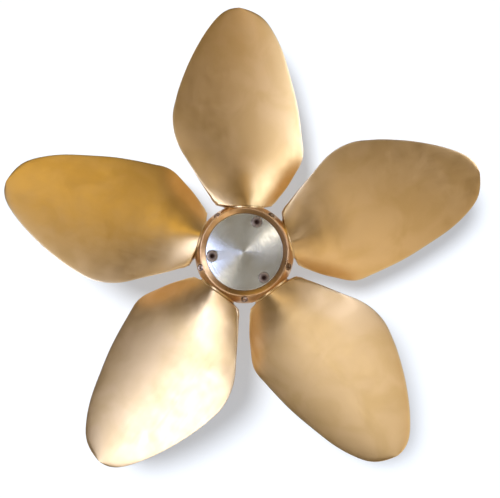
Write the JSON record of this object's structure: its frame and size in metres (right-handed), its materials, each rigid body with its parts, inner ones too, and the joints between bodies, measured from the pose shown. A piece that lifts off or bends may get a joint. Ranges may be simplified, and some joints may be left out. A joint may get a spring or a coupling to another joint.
{
  "type": "feathering ship propeller",
  "caption": "Bronze boat propeller with separate blades that turn in a split hub to feather, and a recessed disc anode held by screws in its aft end.",
  "frame": {"origin": "on the shaft axis in the forward face of the hub, where the shaft enters", "axes": "+Z along the shaft axis, pointing aft, up as the part lies on its forward face; +Y along the turning axis of blade_1"},
  "size_m": [0.7639, 0.7327, 0.185],
  "materials": {
    "blade_bronze": "fine brushed nickel aluminium bronze, satin",
    "hub_bronze": "turned bronze, semi-bright",
    "boss_bronze": "turned and bored bronze",
    "bush_bronze": "dark bearing bronze",
    "anode_zinc": "face-turned zinc, matte",
    "screw_steel": "stainless steel, lightly stained"
  },
  "bodies": {
    "hub": {"hub_forward_half": "hub_bronze", "hub_aft_half": "hub_bronze", "shaft_boss": "boss_bronze", "aft_cap": "hub_bronze", "anode": "anode_zinc", "anode_screw_1": "screw_steel", "anode_screw_2": "screw_steel", "anode_screw_3": "screw_steel", "hub_bolt_1": "screw_steel", "hub_bolt_2": "screw_steel", "hub_bolt_3": "screw_steel", "hub_bolt_4": "screw_steel", "hub_bolt_5": "screw_steel", "root_bush_1": "bush_bronze", "root_bush_2": "bush_bronze", "root_bush_3": "bush_bronze", "root_bush_4": "bush_bronze", "root_bush_5": "bush_bronze"},
    "blade_1": {"blade_1": "blade_bronze"},
    "blade_2": {"blade_2": "blade_bronze"},
    "blade_3": {"blade_3": "blade_bronze"},
    "blade_4": {"blade_4": "blade_bronze"},
    "blade_5": {"blade_5": "blade_bronze"}
  },
  "joints": [
    {"name": "blade_1_pitch", "type": "hinge", "parent": "hub", "child": "blade_1", "pos_m": [0, 0, 0.115], "axis": [0, 1, 0], "range_deg": [0, 146]},
    {"name": "blade_2_pitch", "type": "hinge", "parent": "hub", "child": "blade_2", "pos_m": [0, 0, 0.115], "axis": [-0.9511, 0.309, 0], "range_deg": [0, 146]},
    {"name": "blade_3_pitch", "type": "hinge", "parent": "hub", "child": "blade_3", "pos_m": [0, 0, 0.115], "axis": [-0.5878, -0.809, 0], "range_deg": [0, 146]},
    {"name": "blade_4_pitch", "type": "hinge", "parent": "hub", "child": "blade_4", "pos_m": [0, 0, 0.115], "axis": [0.5878, -0.809, 0], "range_deg": [0, 146]},
    {"name": "blade_5_pitch", "type": "hinge", "parent": "hub", "child": "blade_5", "pos_m": [0, 0, 0.115], "axis": [0.9511, 0.309, 0], "range_deg": [0, 146]}
  ],
  "couplings": [
    {"joint": "blade_2_pitch", "follows": "blade_1_pitch", "ratio": 1},
    {"joint": "blade_3_pitch", "follows": "blade_1_pitch", "ratio": 1},
    {"joint": "blade_4_pitch", "follows": "blade_1_pitch", "ratio": 1},
    {"joint": "blade_5_pitch", "follows": "blade_1_pitch", "ratio": 1}
  ]
}
